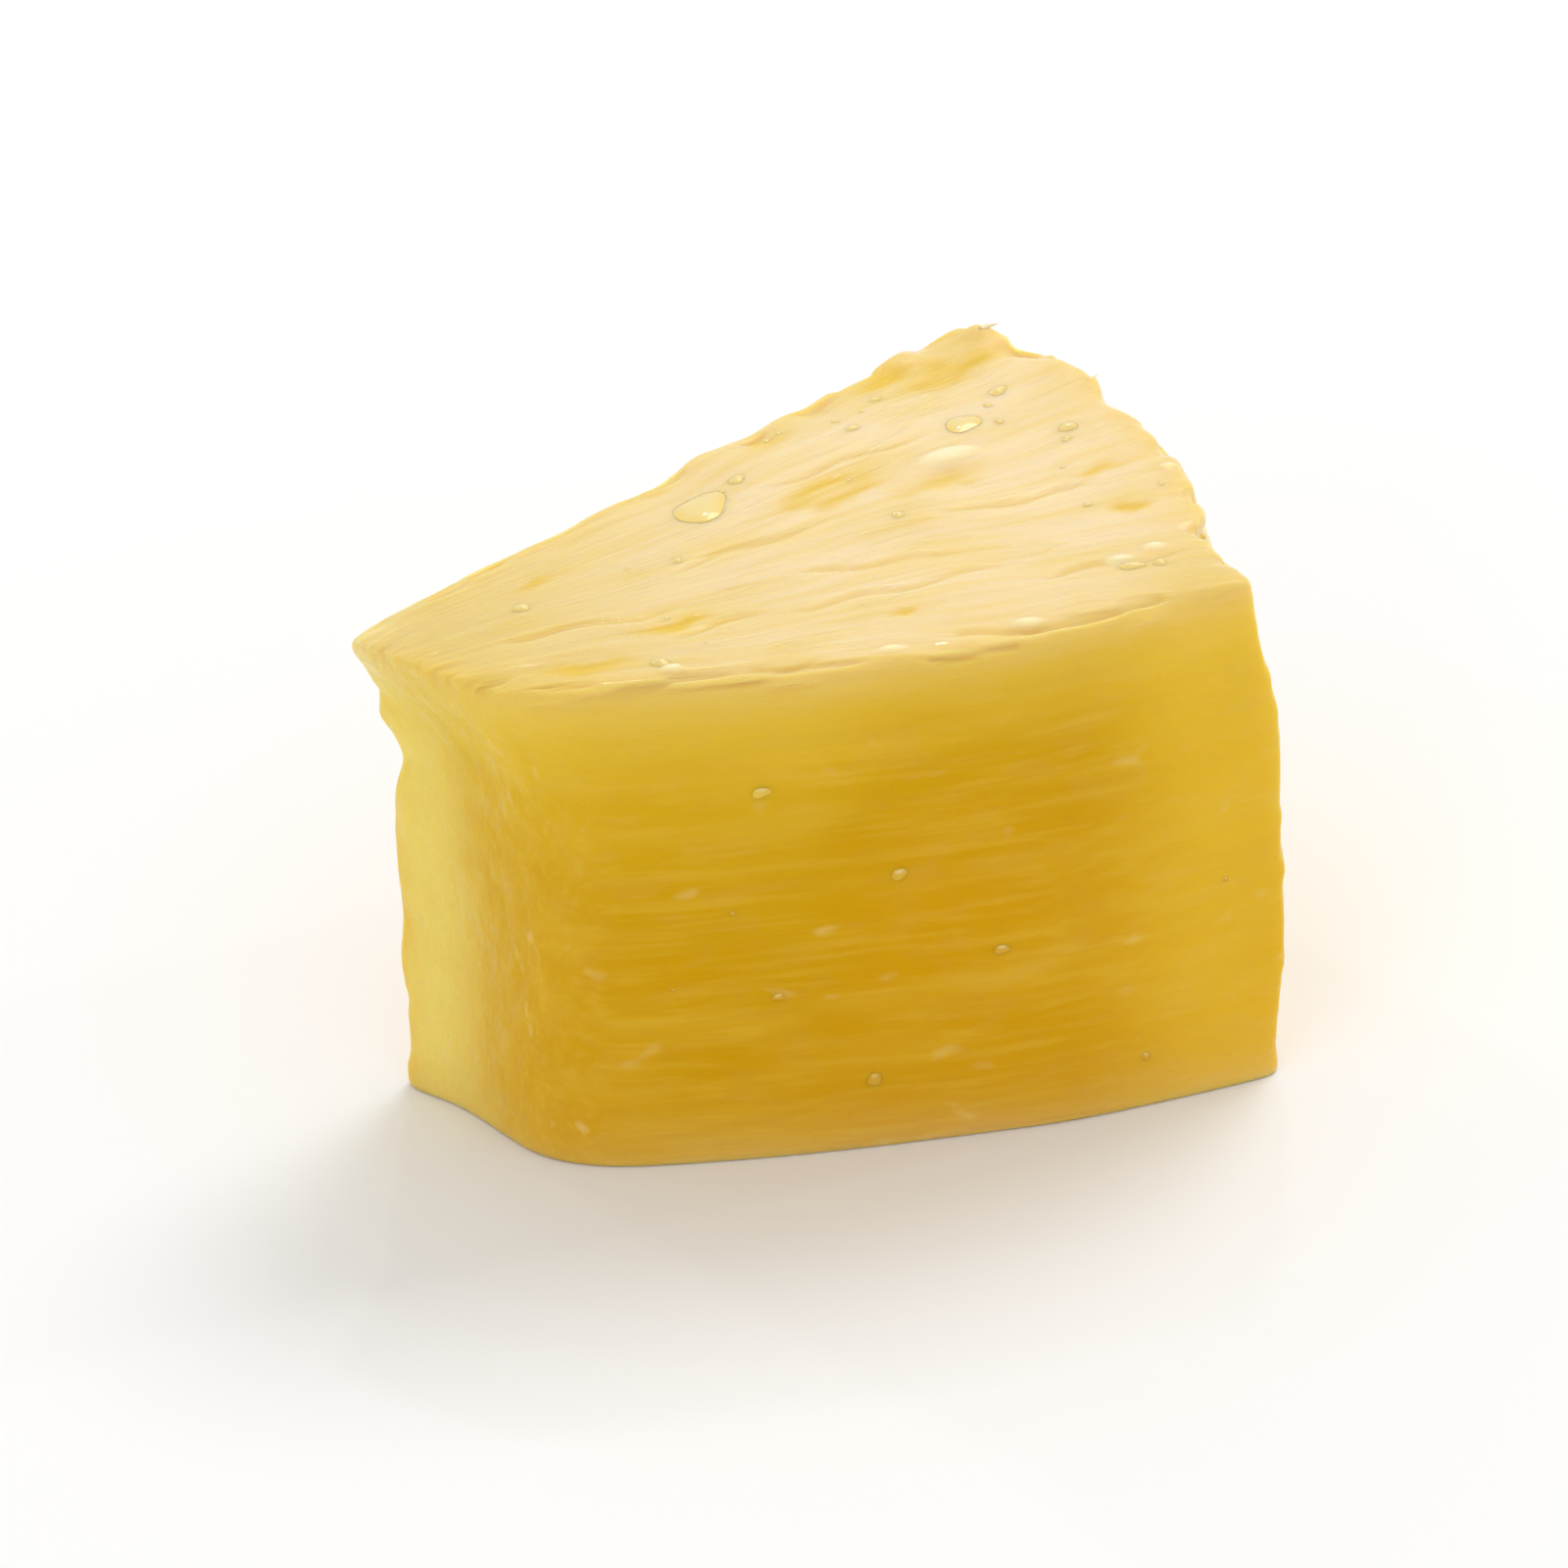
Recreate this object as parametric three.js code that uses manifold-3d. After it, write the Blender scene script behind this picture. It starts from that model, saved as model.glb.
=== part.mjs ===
// A chunk of fresh pineapple: one sector of a thick, peeled and cored slice.
//
// +X runs from the core side of the chunk to its peeled side, and +Z runs along the axis of the
// fruit. The chunk stands on the underside of its slice, with the origin at the middle of its foot.
// Lengths are in millimetres and angles in degrees.

import * as THREE from "three";
import { mergeVertices } from "three/addons/utils/BufferGeometryUtils.js";
import Module from "manifold-3d";

// The slice that the chunk was cut from. The axis of the fruit is vertical, and the peeled face is
// part of a barrel round it.
const SLICE_THICKNESS = 25;
const FRUIT_AXIS = new THREE.Vector2(-29.7, -0.4);
const PEELED_RADIUS = 50.6;
const BARREL_RADIUS = 95;

// The knife cuts round the chunk. A bearing is the direction in which a cut face looks, from +X
// towards +Y, and a lean tips the face so that it looks up, where positive, or down.
const BACK_CUT = { bearing: 105.7, lean: 1.5, through: new THREE.Vector2(0, 8.2) };
const FRONT_CUT = { bearing: 250.5, lean: -1, through: new THREE.Vector2(-10, -6.95) };
const SHOULDER_CUT = { bearing: 266, lean: 2, through: new THREE.Vector2(8, -12.75) };
const CORNER_TRIM = { bearing: 229, lean: -1, through: new THREE.Vector2(-14, -5.05) };
const CORE_CUT = { bearing: 208, lean: -1, through: new THREE.Vector2(-17, -0.4) };

// Soft flesh leaves no sharp edge. A right-angled edge comes out with a radius of 2.4 times this.
const EDGE_SOFTNESS = 0.35;

// The core end is undercut below its top edge, most of all at the back, where a lip overhangs it.
const LIP_OVERHANG = 3;
const LIP_FRONT_SHARE = 0.5;
const LIP_FRONT_Y = -5;
const LIP_BACK_Y = 2;
const LIP_TOP_DEPTH = -1;
const LIP_FOOT_DEPTH = 6.5;
const CORNER_LIP_SHARE = 0.54;

// The eyes stand in staggered rows round the fruit. Peeling leaves a shallow hollow for each, with
// a deeper pit under its middle.
const EYE_BEARING = 3;
const EYE_HEIGHT = 13.5;
const EYE_COLUMN_STEP = 12;
const EYE_ROW_STEP = 11;
const EYE_RINGS = 1;
const HOLLOW_RADIUS = 5.2;
const HOLLOW_DEPTH = 0.75;
const PIT_HALF_WIDTH = 2.2;
const PIT_HALF_HEIGHT = 1.5;
const PIT_DEPTH = 0.8;
const PIT_DROP = 1.2;

// The eye above the back corner went deep, so its hollow also dips the top of the slice there.
const TOP_DIP = { x: 14.4, y: 10, radius: 4.2, depth: 0.5 };

// The knife wanders: each wave has a length, a direction and an amplitude.
const KNIFE_WAVES = [
  { direction: new THREE.Vector3(0.9, 0.35, 0.25), length: 17, phase: 0.6, amplitude: 0.1 },
  { direction: new THREE.Vector3(-0.3, 0.75, 0.6), length: 11, phase: 2.1, amplitude: 0.08 },
  { direction: new THREE.Vector3(0.25, -0.5, 0.85), length: 8, phase: 4.4, amplitude: 0.05 },
];

// The mesh is a box grid that is pulled onto the flesh. Crowding brings its lines nearer the edges,
// and the sharp corners are those of the plan before its edges are softened.
const GRID = { x: 26, y: 26, z: 24 };
const CROWDING = 0.3;
const SHARP_CORNERS = {
  coreFront: new THREE.Vector2(-14.5, -5.5),
  coreBack: new THREE.Vector2(-19, 3),
  peelFront: new THREE.Vector2(19, -13.6),
  peelBack: new THREE.Vector2(17, 13),
};
const HEART = new THREE.Vector3(2, 0, SLICE_THICKNESS / 2);
const RAY_REACH = 1.4;
const RAY_HALVINGS = 40;

// The flesh first runs a little below the foot, and is then trimmed flat.
const TRIM = 0.45;
const TRIM_BOX = 100;

const FLESH_COLOUR = 0xf0d27a;
const FLESH_ROUGHNESS = 0.35;

const radians = THREE.MathUtils.degToRad;

function outwardNormal(cut) {
  const bearing = radians(cut.bearing);
  const lean = radians(cut.lean);
  return new THREE.Vector3(
    Math.cos(bearing) * Math.cos(lean),
    Math.sin(bearing) * Math.cos(lean),
    Math.sin(lean),
  );
}

// How far a point lies outside a cut face. A leaning face turns about its line at half height.
function distanceToCut(cut, point) {
  const through = new THREE.Vector3(cut.through.x, cut.through.y, SLICE_THICKNESS / 2);
  return outwardNormal(cut).dot(point.clone().sub(through));
}

// How far the core end is undercut at a point.
function lipRecess(point) {
  const backness = THREE.MathUtils.smoothstep(point.y, LIP_FRONT_Y, LIP_BACK_Y);
  const share = THREE.MathUtils.lerp(LIP_FRONT_SHARE, 1, backness);
  const depth = SLICE_THICKNESS - point.z;
  return LIP_OVERHANG * share * THREE.MathUtils.smoothstep(depth, LIP_TOP_DEPTH, LIP_FOOT_DEPTH);
}

// The eyes that can reach the chunk: rings of neighbours round the eye on its peeled face.
function eyePlaces() {
  const places = [];
  for (let row = -EYE_RINGS; row <= EYE_RINGS; row++) {
    for (let column = -EYE_RINGS; column <= EYE_RINGS; column++) {
      if ((row + column) % 2 === 0) {
        places.push({
          bearing: radians(EYE_BEARING + column * EYE_COLUMN_STEP),
          height: EYE_HEIGHT + row * EYE_ROW_STEP,
        });
      }
    }
  }
  return places;
}

const EYES = eyePlaces();

// How deep the eyes go in below the peeled face, at a bearing and a height.
function eyeDepth(bearing, height) {
  let depth = 0;
  for (const eye of EYES) {
    const across = (bearing - eye.bearing) * PEELED_RADIUS;
    const up = height - eye.height;
    const hollow = Math.hypot(across, up) / HOLLOW_RADIUS;
    const pit = Math.hypot(across / PIT_HALF_WIDTH, (up + PIT_DROP) / PIT_HALF_HEIGHT);
    depth += HOLLOW_DEPTH * Math.exp(-2 * hollow ** 2);
    depth += PIT_DEPTH * Math.exp(-(pit ** 2));
  }
  return depth;
}

// How far a point lies outside the peeled face, a barrel round the axis of the fruit.
function distanceToPeel(point) {
  const out = new THREE.Vector2(point.x, point.y).sub(FRUIT_AXIS);
  const sag = (point.z - SLICE_THICKNESS / 2) ** 2 / (2 * BARREL_RADIUS);
  return out.length() - PEELED_RADIUS + sag + eyeDepth(Math.atan2(out.y, out.x), point.z);
}

function topDip(point) {
  const away = Math.hypot(point.x - TOP_DIP.x, point.y - TOP_DIP.y) / TOP_DIP.radius;
  return TOP_DIP.depth * Math.exp(-(away ** 2));
}

function knifeWave(point) {
  let total = 0;
  for (const wave of KNIFE_WAVES) {
    const turns = wave.direction.dot(point) / wave.length;
    total += wave.amplitude * Math.sin(2 * Math.PI * turns + wave.phase);
  }
  return total;
}

// The largest of the values, eased where two or more of them are nearly equal.
function softMaximum(values) {
  const largest = Math.max(...values);
  let sum = 0;
  for (const value of values) {
    sum += Math.exp((value - largest) / EDGE_SOFTNESS);
  }
  return largest + EDGE_SOFTNESS * Math.log(sum);
}

// How far a point lies outside the flesh: the soft maximum of its distances to all the faces.
function distanceToFlesh(point) {
  const recess = lipRecess(point);
  const distances = [
    point.z - SLICE_THICKNESS + topDip(point),
    -TRIM - point.z,
    distanceToPeel(point),
    distanceToCut(BACK_CUT, point),
    distanceToCut(FRONT_CUT, point),
    distanceToCut(SHOULDER_CUT, point),
    distanceToCut(CORNER_TRIM, point) + CORNER_LIP_SHARE * recess,
    distanceToCut(CORE_CUT, point) + recess,
  ];
  return softMaximum(distances) + knifeWave(point);
}

// The point where a ray from the heart of the chunk leaves the flesh, on its way to a rough point.
function onFlesh(rough) {
  const ray = rough.clone().sub(HEART);
  let inside = 0;
  let outside = RAY_REACH;
  for (let i = 0; i < RAY_HALVINGS; i++) {
    const middle = (inside + outside) / 2;
    const probe = HEART.clone().addScaledVector(ray, middle);
    if (distanceToFlesh(probe) < 0) {
      inside = middle;
    } else {
      outside = middle;
    }
  }
  return HEART.clone().addScaledVector(ray, (inside + outside) / 2);
}

function crowd(side) {
  return side * (1 + CROWDING) - CROWDING * side ** 3;
}

// A point of the box grid, from -1 to 1 on each axis, on the sharp block that the chunk is cut from.
function roughPoint(gridPoint) {
  const along = (crowd(gridPoint.x) + 1) / 2;
  const across = (crowd(gridPoint.y) + 1) / 2;
  const up = (crowd(gridPoint.z) + 1) / 2;
  const front = SHARP_CORNERS.coreFront.clone().lerp(SHARP_CORNERS.peelFront, along);
  const back = SHARP_CORNERS.coreBack.clone().lerp(SHARP_CORNERS.peelBack, along);
  const plan = front.lerp(back, across);
  return new THREE.Vector3(plan.x, plan.y, up * SLICE_THICKNESS);
}

function fleshGeometry() {
  const box = new THREE.BoxGeometry(2, 2, 2, GRID.x, GRID.y, GRID.z);
  const position = box.getAttribute("position");
  for (let i = 0; i < position.count; i++) {
    const gridPoint = new THREE.Vector3().fromBufferAttribute(position, i);
    const point = onFlesh(roughPoint(gridPoint));
    position.setXYZ(i, point.x, point.y, point.z);
  }
  return box;
}

const wasm = await Module();
wasm.setup();

function toSolid(geometry) {
  geometry.deleteAttribute("normal");
  geometry.deleteAttribute("uv");
  const merged = mergeVertices(geometry);
  return new wasm.Manifold(
    new wasm.Mesh({
      numProp: 3,
      vertProperties: merged.getAttribute("position").array,
      triVerts: new Uint32Array(merged.index.array),
    }),
  );
}

function toGeometry(solid) {
  const mesh = solid.getMesh();
  const geometry = new THREE.BufferGeometry();
  geometry.setAttribute("position", new THREE.BufferAttribute(mesh.vertProperties, mesh.numProp));
  geometry.setIndex(new THREE.BufferAttribute(mesh.triVerts, 1));
  geometry.computeVertexNormals();
  return geometry;
}

// The foot: everything below the underside of the slice is trimmed away.
function trimBox() {
  const box = new THREE.BoxGeometry(TRIM_BOX, TRIM_BOX, TRIM_BOX);
  return box.translate(0, 0, -TRIM_BOX / 2);
}

// Moves the middle of the chunk's plan to the origin.
function centred(geometry) {
  geometry.computeBoundingBox();
  const middle = geometry.boundingBox.getCenter(new THREE.Vector3());
  return geometry.translate(-middle.x, -middle.y, 0);
}

const flesh = new THREE.MeshStandardMaterial({
  color: FLESH_COLOUR,
  roughness: FLESH_ROUGHNESS,
  metalness: 0,
});

const trimmed = toSolid(fleshGeometry()).subtract(toSolid(trimBox()));
const chunk = new THREE.Mesh(centred(toGeometry(trimmed)), flesh);
chunk.name = "chunk";

const pineappleChunk = new THREE.Group();
pineappleChunk.add(chunk);

export default pineappleChunk;
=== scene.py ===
"""A chunk of fresh pineapple: moist, fibrous flesh with its juice and loose fibres.

Lengths are millimetres in the plan of the cuts, until a mesh is made in the row frame.
"""

from math import cos, pi, radians, sin

import bpy
import numpy as np
from mathutils import Matrix, Vector
from mathutils.bvhtree import BVHTree


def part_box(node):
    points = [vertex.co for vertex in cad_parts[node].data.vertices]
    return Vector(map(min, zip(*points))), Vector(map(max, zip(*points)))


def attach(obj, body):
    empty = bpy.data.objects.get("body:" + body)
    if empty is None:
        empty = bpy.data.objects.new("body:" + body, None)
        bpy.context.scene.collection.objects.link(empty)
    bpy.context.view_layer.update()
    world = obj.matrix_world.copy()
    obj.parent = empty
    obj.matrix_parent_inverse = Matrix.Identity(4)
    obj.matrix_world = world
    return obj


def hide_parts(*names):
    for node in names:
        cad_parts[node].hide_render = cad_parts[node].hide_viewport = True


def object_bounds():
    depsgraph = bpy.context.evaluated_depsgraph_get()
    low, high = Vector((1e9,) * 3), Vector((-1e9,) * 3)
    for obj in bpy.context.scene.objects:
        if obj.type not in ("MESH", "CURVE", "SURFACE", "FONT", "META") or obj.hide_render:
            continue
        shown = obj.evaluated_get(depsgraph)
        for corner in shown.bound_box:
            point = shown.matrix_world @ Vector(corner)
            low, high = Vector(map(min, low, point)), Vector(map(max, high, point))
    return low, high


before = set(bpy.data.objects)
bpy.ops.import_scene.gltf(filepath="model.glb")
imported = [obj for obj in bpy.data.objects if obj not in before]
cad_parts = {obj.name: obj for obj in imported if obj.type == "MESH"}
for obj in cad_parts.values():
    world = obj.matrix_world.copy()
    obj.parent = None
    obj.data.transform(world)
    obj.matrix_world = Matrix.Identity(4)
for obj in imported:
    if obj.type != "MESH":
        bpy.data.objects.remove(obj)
CAD_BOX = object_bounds()

MM = 0.001
UP = np.array([0.0, 0.0, 1.0])

# The slice that the chunk was cut from. Its peeled face is part of a barrel round the fruit's axis.
THICKNESS = 25.0
FRUIT_AXIS = np.array([-29.7, -0.4])
PEELED_RADIUS = 50.6
BARREL_RADIUS = 95.0

# The cuts that shape the chunk: bearing and lean in degrees, and a point that each one goes through.
CUTS = {
    "back": (105.7, 1.5, (0.0, 8.2)),
    "front": (250.5, -1.0, (-10.0, -6.95)),
    "shoulder": (266.0, 2.0, (8.0, -12.75)),
    "corner": (229.0, -1.0, (-14.0, -5.05)),
    "core": (208.0, -1.0, (-17.0, -0.4)),
}
LONG_CUTS = ("front", "shoulder", "back", "corner")

# How soft the edges are, and how far the form goes on below the foot.
EDGE_SOFTNESS = 0.35
TRIM = 0.45

# The undercut of the core end, deepest at the back.
LIP_OVERHANG = 3.0
LIP_FRONT_SHARE = 0.5
LIP_FRONT_Y = -5.0
LIP_BACK_Y = 2.0
LIP_TOP_DEPTH = -1.0
LIP_FOOT_DEPTH = 6.5
CORNER_LIP_SHARE = 0.54

# The eyes on the peeled face, in staggered rows: each is a shallow hollow with a pit in it.
EYE_BEARING = 3.0
EYE_HEIGHT = 13.5
EYE_COLUMN_STEP = 12.0
EYE_ROW_STEP = 11.0
HOLLOW_RADIUS = 5.2
HOLLOW_DEPTH = 0.75
PIT_HALF_WIDTH = 2.2
PIT_HALF_HEIGHT = 1.5
PIT_DEPTH = 0.8
PIT_DROP = 1.2

# The eye above the back corner dips the top there.
TOP_DIP = (14.4, 10.0)
TOP_DIP_RADIUS = 4.2
TOP_DIP_DEPTH = 0.5

# The wander of the knife: direction, length, phase and amplitude.
KNIFE_WAVES = [
    ((0.9, 0.35, 0.25), 17.0, 0.6, 0.10),
    ((-0.3, 0.75, 0.6), 11.0, 2.1, 0.08),
    ((0.25, -0.5, 0.85), 8.0, 4.4, 0.05),
]

# The box grid that is pulled onto the flesh, a coarse one that is enough to measure it, and the
# sharp corners of the plan.
GRID = (112, 140, 126)
COARSE_GRID = (24, 24, 20)
CROWDING = 0.15
CORE_FRONT = np.array([-14.5, -5.5])
CORE_BACK = np.array([-19.0, 3.0])
PEEL_FRONT = np.array([19.0, -13.6])
PEEL_BACK = np.array([17.0, 13.0])
HEART = np.array([2.0, 0.0, THICKNESS / 2])
RAY_REACH = 1.5
RAY_HALVINGS = 30

# How often the normals are evened out round the edges.
EDGE_ROUNDS = 12


def linear(red, green, blue):
    """The colour that a shader takes, given its screen values from 0 to 255."""
    shares = np.array([red, green, blue]) / 255
    bright = ((shares + 0.055) / 1.055) ** 2.4
    return (*np.where(shares <= 0.04045, shares / 12.92, bright).tolist(), 1.0)


def ease(x, start, end):
    """From 0 at start to 1 at end, smoothly."""
    t = np.clip((x - start) / (end - start), 0, 1)
    return t * t * (3 - 2 * t)


def bell(distance, reach):
    """From 1 at no distance down to almost 0 at twice the reach, smoothly."""
    return np.exp(-(distance / reach) ** 2)


def unit(vector):
    return vector / np.linalg.norm(vector)


def direction(bearing, lean=0.0):
    """The way that looks to a bearing and leans up from level, both in degrees."""
    level = cos(radians(lean))
    turn = radians(bearing)
    return np.array([cos(turn) * level, sin(turn) * level, sin(radians(lean))])


# ---- noise

LATTICE = 64


def noise(points, seed):
    """Smooth noise from -1 to 1, with one random value for each whole-number place."""
    values = np.random.default_rng(seed).uniform(-1, 1, (LATTICE, LATTICE, LATTICE))
    low = np.floor(points).astype(int)
    part = points - low
    part = part ** 3 * (part * (part * 6 - 15) + 10)
    total = np.zeros(len(points))
    for corner in np.ndindex(2, 2, 2):
        share = np.prod(np.where(corner, part, 1 - part), axis=1)
        at = (low + corner) % LATTICE
        total += share * values[at[:, 0], at[:, 1], at[:, 2]]
    return total


# ---- the chunk's true form

def distance_to_cut(name, points):
    """How far each point lies outside a cut, which leans about its line at half height."""
    bearing, lean, through = CUTS[name]
    return (points - np.array([*through, THICKNESS / 2])) @ direction(bearing, lean)


def lip_recess(points):
    """How far the core end is undercut at each point."""
    share = LIP_FRONT_SHARE + (1 - LIP_FRONT_SHARE) * ease(points[:, 1], LIP_FRONT_Y, LIP_BACK_Y)
    depth = THICKNESS - points[:, 2]
    return LIP_OVERHANG * share * ease(depth, LIP_TOP_DEPTH, LIP_FOOT_DEPTH)


def eye_places():
    """Bearing in radians and height of each eye that can reach the chunk."""
    steps = (-1, 0, 1)
    for row in steps:
        for column in steps:
            if (row + column) % 2 == 0:
                bearing = radians(EYE_BEARING + column * EYE_COLUMN_STEP)
                yield bearing, EYE_HEIGHT + row * EYE_ROW_STEP


def round_the_fruit(points):
    """Each point's distance from the fruit's axis, and its bearing."""
    out = points[:, :2] - FRUIT_AXIS
    return np.hypot(out[:, 0], out[:, 1]), np.arctan2(out[:, 1], out[:, 0])


def eye_depth(bearing, height):
    depth = np.zeros(len(bearing))
    for eye_bearing, eye_height in eye_places():
        across = (bearing - eye_bearing) * PEELED_RADIUS
        up = height - eye_height
        pit = (across / PIT_HALF_WIDTH) ** 2 + ((up + PIT_DROP) / PIT_HALF_HEIGHT) ** 2
        depth += HOLLOW_DEPTH * np.exp(-2 * (across ** 2 + up ** 2) / HOLLOW_RADIUS ** 2)
        depth += PIT_DEPTH * np.exp(-pit)
    return depth


def distance_from(place, points):
    """How far points are from a place, which can be one in the plan."""
    return np.linalg.norm(points[:, :len(place)] - np.array(place), axis=1)


def distances_to_faces(points):
    """How far each point lies outside each face of the chunk."""
    z = points[:, 2]
    radius, bearing = round_the_fruit(points)
    sag = (z - THICKNESS / 2) ** 2 / (2 * BARREL_RADIUS)
    recess = lip_recess(points)
    dip = TOP_DIP_DEPTH * bell(distance_from(TOP_DIP, points), TOP_DIP_RADIUS)
    distances = {name: distance_to_cut(name, points) for name in CUTS}
    distances["corner"] += CORNER_LIP_SHARE * recess
    distances["core"] += recess
    distances["top"] = z - THICKNESS + dip
    distances["foot"] = -TRIM - z
    distances["peel"] = radius - PEELED_RADIUS + sag + eye_depth(bearing, z)
    return distances


def distance_to_flesh(points):
    """How far each point lies outside the chunk: the soft maximum of its distances to the faces."""
    distances = np.stack(list(distances_to_faces(points).values()))
    largest = distances.max(0)
    total = largest + EDGE_SOFTNESS * np.log(np.exp((distances - largest) / EDGE_SOFTNESS).sum(0))
    for way, length, phase, amplitude in KNIFE_WAVES:
        total += amplitude * np.sin(2 * np.pi * (points @ np.array(way)) / length + phase)
    return total


def box_grid(nx, ny, nz):
    """The skin of a box lattice: its places, from -1 to 1 on each axis, and its quads, facing out."""
    index = np.full((nx + 1, ny + 1, nz + 1), -1)
    i, j, k = np.indices(index.shape)
    skin = (i % nx == 0) | (j % ny == 0) | (k % nz == 0)
    index[skin] = np.arange(skin.sum())
    places = np.column_stack([i[skin] / nx, j[skin] / ny, k[skin] / nz]) * 2 - 1
    quads = []
    for axis, turn in ((2, 1), (1, -1), (0, 1)):
        for sheet, way in ((index.take(-1, axis), turn), (index.take(0, axis), -turn)):
            ring = [sheet[:-1, :-1], sheet[1:, :-1], sheet[1:, 1:], sheet[:-1, 1:]][::way]
            quads.append(np.stack([corner.ravel() for corner in ring], axis=1))
    return places, np.vstack(quads)


def on_flesh(places):
    """Where rays from the heart, through the places of the box grid, leave the flesh."""
    crowded = places * (1 + CROWDING) - CROWDING * places ** 3
    along, across, up = ((crowded + 1) / 2).T[:, :, None]
    front = CORE_FRONT + (PEEL_FRONT - CORE_FRONT) * along
    back = CORE_BACK + (PEEL_BACK - CORE_BACK) * along
    rays = np.hstack([front + (back - front) * across, up * THICKNESS]) - HEART
    inside = np.zeros(len(rays))
    outside = np.full(len(rays), RAY_REACH)
    for _ in range(RAY_HALVINGS):
        middle = (inside + outside) / 2
        held = distance_to_flesh(HEART + rays * middle[:, None]) < 0
        inside = np.where(held, middle, inside)
        outside = np.where(held, outside, middle)
    return HEART + rays * outside[:, None]


def mean_way(quads, ways, count):
    """For each of the points, the mean direction of the ways of the quads round it."""
    total = np.zeros((count, 3))
    for corner in quads.T:
        for axis in range(3):
            total[:, axis] += np.bincount(corner, ways[:, axis], count)
    return total / np.linalg.norm(total, axis=1, keepdims=True)


def vertex_normals(points, quads):
    across = points[quads[:, 2]] - points[quads[:, 0]]
    along = points[quads[:, 3]] - points[quads[:, 1]]
    return mean_way(quads, np.cross(across, along), len(points))


def gentle_ways(normals, quads):
    """The normals, evened out round the edges, so that flesh moved along them doesn't fold."""
    for _ in range(EDGE_ROUNDS):
        normals = mean_way(quads, normals[quads].sum(1), len(normals))
    return normals


# ---- relief of the cut and peeled faces

# The fibres run out from the fruit's axis. Places across them are measured as at this radius.
FIBRE_RADIUS = 38.0
FIBRE_SWAY = 0.5
SWAY_SIZE = 6.0
SWAY_SEED = 21

# How wide the borders between faces are.
RELIEF_BORDER = 0.3
TEAR_BORDER = 0.5
COLOUR_BORDER = 0.9

# Layers of relief: size, seed, and height on each kind of face. A ridge has its size along the
# fibres, across them and up.
LUMPS = [
    (4.5, 11, {"all": 0.10}),
    (1.3, 14, {"all": 0.02, "core": 0.07, "peel": 0.04}),
    (2.4, 15, {"peel": 0.09}),
    (0.9, 16, {"rough_edge": 0.12}),
]
RIDGES = [
    ((9.0, 1.6, 1.6), 12, {"all": 0.02, "cut": 0.030}),
    ((6.0, 0.7, 0.7), 13, {"all": 0.01, "cut": 0.022, "core": 0.02}),
    ((9.0, 3.889, 7.0), 19, {"peel": 0.28}),
    ((12.0, 3.0, 3.0), 17, {"side": 0.05}),
    ((7.0, 0.9, 0.9), 29, {"side": 0.03}),
]

# A point comes to be on an edge as its lesser faces have these shares of it.
EDGE_SHARES = (0.02, 0.4)

# How far the flesh lies behind the true form, and how much further on the peeled face.
SETBACK = 0.10
PEEL_SETBACK = 0.15

# Tears in the edges of the top: length, width, seed and depth. Teeth are where the fibres end, with
# shallower ones at the core, and flakes where they run along the edge.
TEETH = [(3.0, 0.75, 16, 0.26), (4.0, 2.2, 26, 0.24)]
FLAKES = [(2.2, 0.6, 27, 0.20), (5.0, 1.4, 28, 0.14)]
TEAR_LEVELS = (0.0, 0.5)
CORE_TEARS = 0.5

# The powers of oval patches: a larger one gives a steeper rim.
HOLLOW_POWER = 3
LUMP_POWER = 4

# An eye before it is turned, across and up from its middle. A slit has its two ends, its half width
# and its depth. A pale wet nub has its place, its half sizes and its height.
EYE_SLITS = [
    ((0.05, 1.05), (-0.95, -1.45), 0.30, 0.16),
    ((0.05, 1.05), (1.05, -1.35), 0.30, 0.16),
    ((0.45, 1.90), (0.60, 3.10), 0.44, 0.10),
    ((-2.60, 0.20), (-2.90, -1.10), 0.36, 0.06),
]
EYE_NUBS = [
    ((0.05, -1.35), (0.36, 0.60), 0.20),
    ((1.45, 0.55), (0.85, 0.45), 0.30),
    ((1.80, 2.35), (0.80, 0.32), 0.24),
    ((-1.65, 0.55), (0.55, 0.50), 0.30),
    ((2.15, -1.30), (0.55, 0.35), 0.20),
    ((-1.55, -2.20), (0.65, 0.30), 0.18),
    ((-0.95, 2.40), (0.40, 0.55), 0.18),
]

# Each eye is turned, in degrees, and sized its own way. A negative width mirrors it.
EYE_TILTS = (-22, 16, 9, -28, 20)
EYE_WIDTHS = (0.85, -1.0, 1.1, -0.9, 1.0)
EYE_REACH = 4.2

# Grooves between the fibres of the top: the radius, and the bearing in degrees, of both ends.
GROOVES = [
    ((29.6, -9.1), (39.6, -8.9)),
    ((24.0, -9.9), (28.6, -8.4)),
    ((30.9, -4.4), (37.5, -6.5)),
    ((17.0, -3.2), (25.5, -5.4)),
    ((38.5, -2.0), (45.5, -2.6)),
    ((26.0, 1.5), (34.5, 1.1)),
    ((40.5, -11.2), (47.0, -10.9)),
    ((33.0, 7.2), (41.0, 6.8)),
    ((35.5, -16.2), (39.6, -16.6)),
    ((26.6, -17.3), (29.8, -17.1)),
    ((17.6, -16.5), (20.0, -18.0)),
]
GROOVE_HALF_WIDTH = 0.22
GROOVE_DEPTH = 0.15

# How far and how fast a groove wanders, and the shares of it where it comes in and fades out.
GROOVE_WANDER = 0.18
GROOVE_TURN = 1.3
GROOVE_START = (-0.08, 0.15)
GROOVE_END = (1.08, 0.8)

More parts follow.
